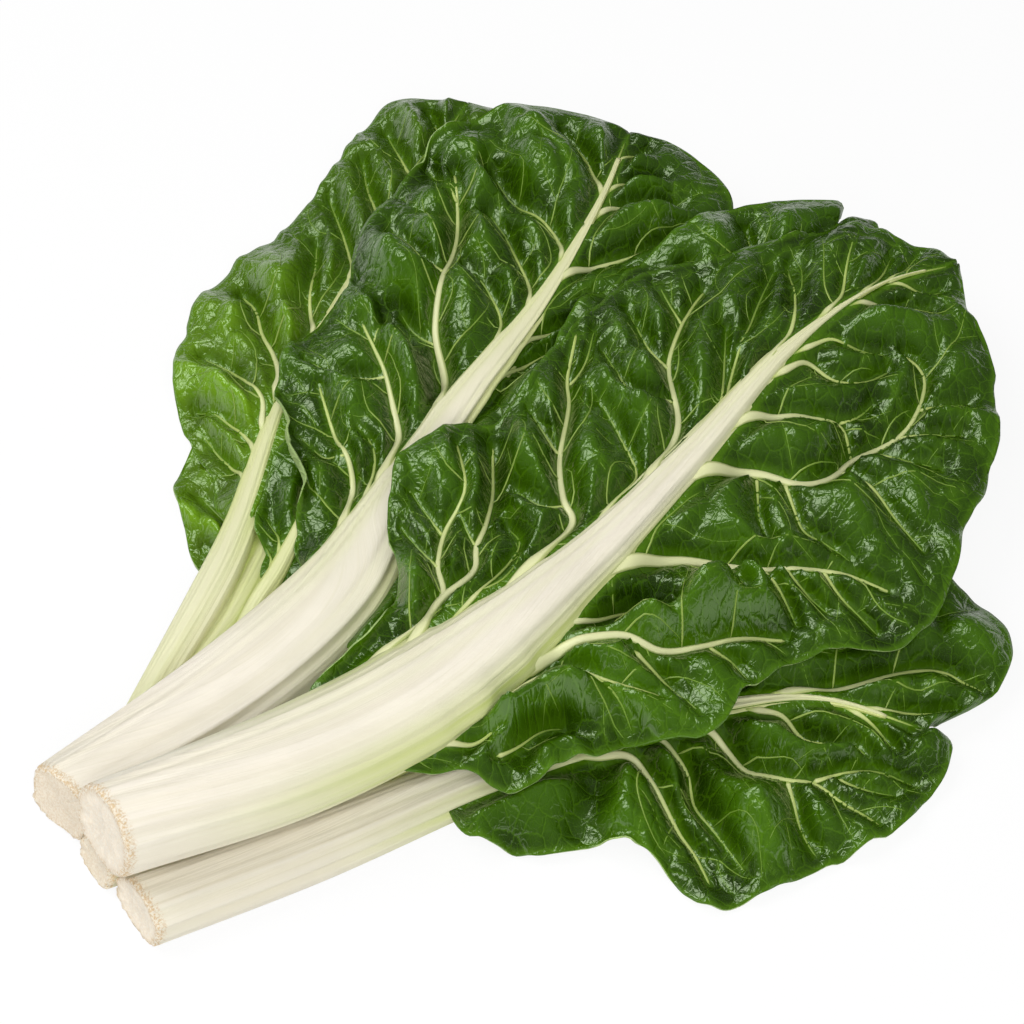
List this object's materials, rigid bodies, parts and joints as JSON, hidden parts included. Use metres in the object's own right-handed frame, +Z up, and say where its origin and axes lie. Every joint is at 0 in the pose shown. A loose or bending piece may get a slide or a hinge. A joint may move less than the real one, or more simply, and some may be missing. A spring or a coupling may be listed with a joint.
{
  "type": "chard bunch",
  "caption": "Loose bunch of white-stemmed chard leaves lying flat, with thick cut stalks at one end and glossy crinkled green blades fanned out at the other.",
  "frame": {"origin": "on the surface that the bunch lies on, under the middle of its bounding box", "axes": "+X along the bunch from the cut stalks to the leaf tips, +Y across the bunch, to the left when looking along +X, +Z up"},
  "size_m": [0.4553, 0.4365, 0.0555],
  "materials": {
    "white_stalk": "smooth, slightly waxy plant tissue, cream white with fine lengthwise fibres",
    "green_stalk": "smooth, slightly waxy plant tissue, pale yellow-green",
    "dark_blade": "glossy, crinkled dark green leaf with pale veins",
    "light_blade": "satin, crinkled mid green leaf with pale veins"
  },
  "bodies": {
    "root": {"inner_left_leaf_stalk": "green_stalk", "inner_left_leaf_blade": "light_blade", "left_leaf_stalk": "green_stalk", "left_leaf_blade": "light_blade", "small_leaf_stalk": "green_stalk", "small_leaf_blade": "dark_blade", "middle_leaf_stalk": "white_stalk", "middle_leaf_blade": "dark_blade", "right_leaf_stalk": "white_stalk", "right_leaf_blade": "dark_blade", "under_leaf_stalk": "white_stalk", "under_leaf_blade": "dark_blade", "front_leaf_stalk": "white_stalk", "front_leaf_blade": "dark_blade"}
  },
  "joints": []
}
